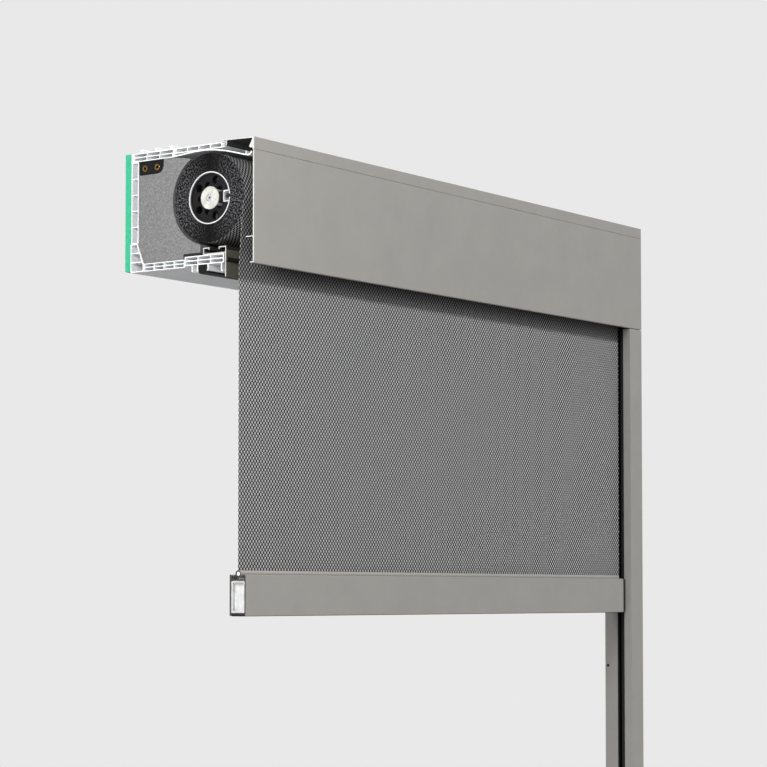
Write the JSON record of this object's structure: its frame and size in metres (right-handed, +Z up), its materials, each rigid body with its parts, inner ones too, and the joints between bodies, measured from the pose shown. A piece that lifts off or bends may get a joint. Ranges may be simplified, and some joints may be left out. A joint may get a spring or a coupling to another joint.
{
  "type": "motorised box screen",
  "caption": "Window-top box with a motor-driven roller, a woven screen hanging from it, a weighted bottom bar and a side guide rail, open at one end to show the section.",
  "frame": {"origin": "on the roller axis, in the plane of the box's open left end", "axes": "+X along the roller towards the motor and rail, +Y from the weather side to the room, +Z up"},
  "size_m": [1.1318, 0.248, 1.2077],
  "materials": {
    "bar_grey": "satin",
    "black_plastic": "satin",
    "black_rubber": "matte",
    "blue_film": "gloss",
    "brass": "satin",
    "coated_grey": "satin",
    "copper": "satin",
    "core_steel": "satin",
    "cream_plastic": "satin",
    "gear_plastic": "satin",
    "green_foam": "matte",
    "grey_foam": "matte",
    "grey_plastic": "satin",
    "khaki_aluminium": "satin",
    "orange_plastic": "gloss",
    "raw_aluminium": "satin",
    "screen_cloth": "matte",
    "steel": "satin",
    "white_pvc": "satin"
  },
  "bodies": {
    "box": {"top_profile": "white_pvc", "front_top_profile": "coated_grey", "front_cover": "coated_grey", "rear_profile": "white_pvc", "rear_foot_profile": "white_pvc", "bottom_profile": "white_pvc", "adapter_profile": "white_pvc", "frame_clip": "black_plastic", "adapter_gasket": "black_rubber", "sill_profile": "khaki_aluminium", "sill_seal": "black_rubber", "insulation_board": "green_foam", "foam_insert": "grey_foam", "fixing_block": "black_plastic", "brass_inserts": "brass", "end_plate": "grey_plastic", "motor_bracket": "steel", "bracket_screws": "steel", "motor_tube": "steel", "motor_bearings": "cream_plastic", "stator": "core_steel", "stator_windings": "copper", "brake_coil": "core_steel", "capacitor": "blue_film", "limit_switch_unit": "black_plastic", "motor_head": "black_plastic", "cable_socket": "black_plastic", "ring_gear": "core_steel", "rail_base": "coated_grey", "rail_cover": "coated_grey", "zip_insert": "black_plastic", "rail_plugs": "black_plastic", "rail_foot_cap": "grey_plastic", "inlet_guide": "black_plastic"},
    "roller": {"roller_tube": "raw_aluminium", "fabric_roll": "screen_cloth", "tube_keder": "black_rubber", "idler_cap": "black_plastic", "idler_bearing": "cream_plastic", "crown_ring": "black_plastic", "drive_adapter": "black_plastic", "output_shaft": "steel"},
    "bar": {"bottom_bar": "bar_grey", "bar_keder": "white_pvc", "weight_bar": "core_steel", "bar_plug": "white_pvc", "bar_seal": "black_rubber", "bar_end_cap": "black_plastic", "screen_fabric": "screen_cloth"},
    "axle": {"idler_pin": "steel"},
    "carrier": {"carrier_in": "steel"},
    "rotor": {"rotor_shaft": "steel"},
    "upper_button": {"limit_button_upper": "orange_plastic"},
    "lower_button": {"limit_button_lower": "cream_plastic"},
    "planet_out_a": {"planet_out_a": "gear_plastic"},
    "planet_out_b": {"planet_out_b": "gear_plastic"},
    "planet_out_c": {"planet_out_c": "gear_plastic"},
    "planet_in_a": {"planet_in_a": "gear_plastic"},
    "planet_in_b": {"planet_in_b": "gear_plastic"},
    "planet_in_c": {"planet_in_c": "gear_plastic"}
  },
  "joints": [
    {"name": "roller_spin", "type": "hinge", "parent": "box", "child": "roller", "pos_m": [0, 0, 0], "axis": [1, 0, 0], "range_deg": [-410, 428]},
    {"name": "bar_slide", "type": "slide", "parent": "box", "child": "bar", "axis": [0, 0, 1], "range_m": [-0.4948, 0.4739], "deforming": ["screen_fabric"]},
    {"name": "carrier_spin", "type": "hinge", "parent": "box", "child": "carrier", "pos_m": [0.78, 0, 0], "axis": [1, 0, 0], "range_deg": [-2460, 2568]},
    {"name": "rotor_spin", "type": "hinge", "parent": "box", "child": "rotor", "pos_m": [0.9, 0, 0], "axis": [1, 0, 0], "range_deg": [-14760, 15408]},
    {"name": "axle_slide", "type": "slide", "parent": "roller", "child": "axle", "axis": [-1, 0, 0], "range_m": [0, 0.018]},
    {"name": "upper_limit_press", "type": "slide", "parent": "box", "child": "upper_button", "axis": [0, 0, 1], "range_m": [0, 0.002], "stiffness_N_per_m": 400, "springref_m": -0.003},
    {"name": "lower_limit_press", "type": "slide", "parent": "box", "child": "lower_button", "axis": [0, 0, 1], "range_m": [0, 0.002], "stiffness_N_per_m": 400, "springref_m": -0.003},
    {"name": "planet_out_a_spin", "type": "hinge", "parent": "roller", "child": "planet_out_a", "pos_m": [0.779, 0.0108, 0], "axis": [1, 0, 0], "range_deg": [-1072.5, 1027.5]},
    {"name": "planet_out_b_spin", "type": "hinge", "parent": "roller", "child": "planet_out_b", "pos_m": [0.779, -0.0054, 0.00935], "axis": [1, 0, 0], "range_deg": [-1072.5, 1027.5]},
    {"name": "planet_out_c_spin", "type": "hinge", "parent": "roller", "child": "planet_out_c", "pos_m": [0.779, -0.0054, -0.00935], "axis": [1, 0, 0], "range_deg": [-1072.5, 1027.5]},
    {"name": "planet_in_a_spin", "type": "hinge", "parent": "carrier", "child": "planet_in_a", "pos_m": [0.805, 0.0108, 0], "axis": [1, 0, 0], "range_deg": [-6410, 6140]},
    {"name": "planet_in_b_spin", "type": "hinge", "parent": "carrier", "child": "planet_in_b", "pos_m": [0.805, -0.0054, 0.00935], "axis": [1, 0, 0], "range_deg": [-6410, 6140]},
    {"name": "planet_in_c_spin", "type": "hinge", "parent": "carrier", "child": "planet_in_c", "pos_m": [0.805, -0.0054, -0.00935], "axis": [1, 0, 0], "range_deg": [-6410, 6140]}
  ],
  "couplings": [
    {"joint": "roller_spin", "follows": "bar_slide", "rad_per_m": -15.06},
    {"joint": "carrier_spin", "follows": "bar_slide", "rad_per_m": -90.361},
    {"joint": "rotor_spin", "follows": "bar_slide", "rad_per_m": -542.17},
    {"joint": "planet_out_a_spin", "follows": "bar_slide", "rad_per_m": 37.651},
    {"joint": "planet_out_b_spin", "follows": "bar_slide", "rad_per_m": 37.651},
    {"joint": "planet_out_c_spin", "follows": "bar_slide", "rad_per_m": 37.651},
    {"joint": "planet_in_a_spin", "follows": "bar_slide", "rad_per_m": 225.9},
    {"joint": "planet_in_b_spin", "follows": "bar_slide", "rad_per_m": 225.9},
    {"joint": "planet_in_c_spin", "follows": "bar_slide", "rad_per_m": 225.9}
  ]
}
